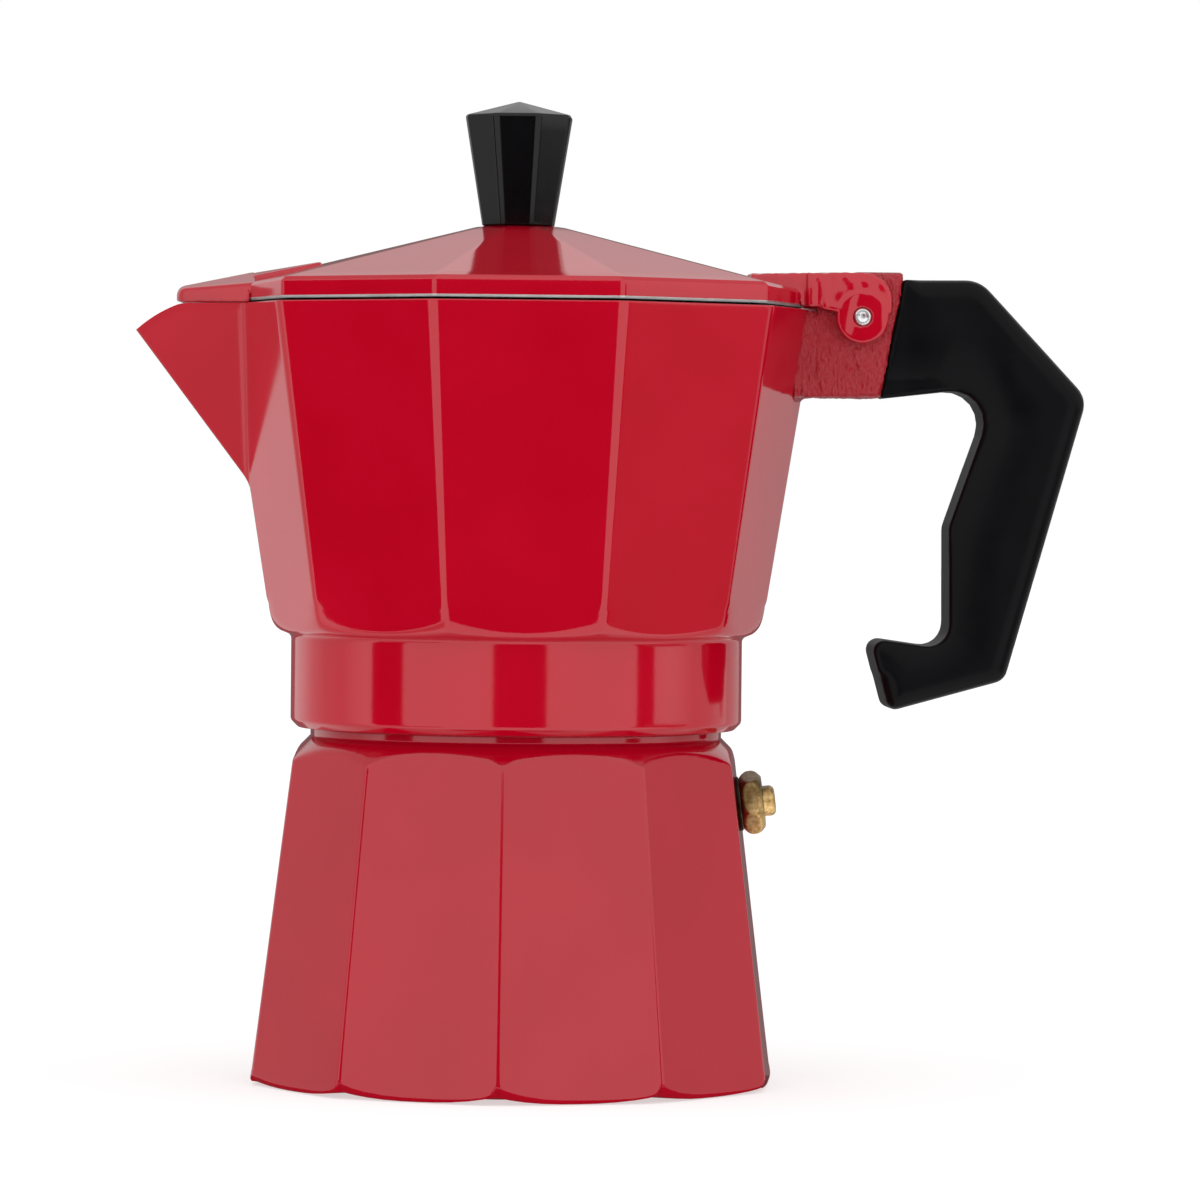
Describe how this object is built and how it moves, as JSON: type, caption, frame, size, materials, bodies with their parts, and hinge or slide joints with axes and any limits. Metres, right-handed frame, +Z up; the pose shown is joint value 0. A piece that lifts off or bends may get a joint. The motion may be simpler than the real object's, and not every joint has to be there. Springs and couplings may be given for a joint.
{
  "type": "stovetop moka pot",
  "caption": "Faceted red stovetop coffee pot with screw-on collector, hinged lid, angular black handle and faceted knob, brass safety valve, and a funnel, filter and rubber ring inside.",
  "frame": {"origin": "centre of the boiler's base, where it meets the table", "axes": "+Z up, +X from the pot's axis towards the handle, so the spout is on -X; +Y completes a right-handed frame"},
  "size_m": [0.1515, 0.0912, 0.157],
  "materials": {
    "red_enamel": "glossy",
    "aluminium": "satin",
    "brass": "aged satin",
    "spring_steel": "satin",
    "zinc_steel": "bright zinc",
    "rubber": "matte",
    "black_plastic": "satin"
  },
  "bodies": {
    "boiler": {"boiler": "red_enamel", "valve_washer": "aluminium", "valve_body": "brass", "valve_retainer": "brass", "valve_spring": "spring_steel"},
    "plunger": {"valve_plunger": "brass"},
    "funnel": {"funnel": "aluminium", "funnel_sieve": "aluminium"},
    "gasket": {"gasket": "rubber"},
    "filter_plate": {"filter_plate": "aluminium"},
    "collector": {"collector": "red_enamel", "riser_column": "aluminium", "hinge_pin": "zinc_steel", "handle": "black_plastic", "handle_screw": "zinc_steel"},
    "lid": {"lid": "red_enamel", "knob": "black_plastic", "knob_insert": "brass", "knob_washer": "aluminium", "knob_screw": "zinc_steel"}
  },
  "joints": [
    {"name": "valve_lift", "type": "slide", "parent": "boiler", "child": "plunger", "axis": [0.9891, -0.0865, 0.1191], "range_m": [0, 0.0012], "stiffness_N_per_m": 300, "springref_m": -0.004, "deforming": ["valve_spring"]},
    {"name": "funnel_lift", "type": "slide", "parent": "boiler", "child": "funnel", "axis": [0, 0, 1], "range_m": [0, 0.062]},
    {"name": "chamber_lift", "type": "slide", "parent": "funnel", "child": "gasket", "axis": [0, 0, 1], "range_m": [0, 0.06]},
    {"name": "thread_rise", "type": "slide", "parent": "gasket", "child": "filter_plate", "axis": [0, 0, 1], "range_m": [0, 0.006]},
    {"name": "chamber_turn", "type": "hinge", "parent": "filter_plate", "child": "collector", "pos_m": [0, 0, 0.0567], "axis": [0, 0, 1], "range_deg": [0, 720]},
    {"name": "lid_hinge", "type": "hinge", "parent": "collector", "child": "lid", "pos_m": [0.0544, 0, 0.123], "axis": [0, 1, 0], "range_deg": [0, 105]}
  ],
  "couplings": [
    {"joint": "thread_rise", "follows": "chamber_turn", "m_per_rad": 0.00047746}
  ]
}
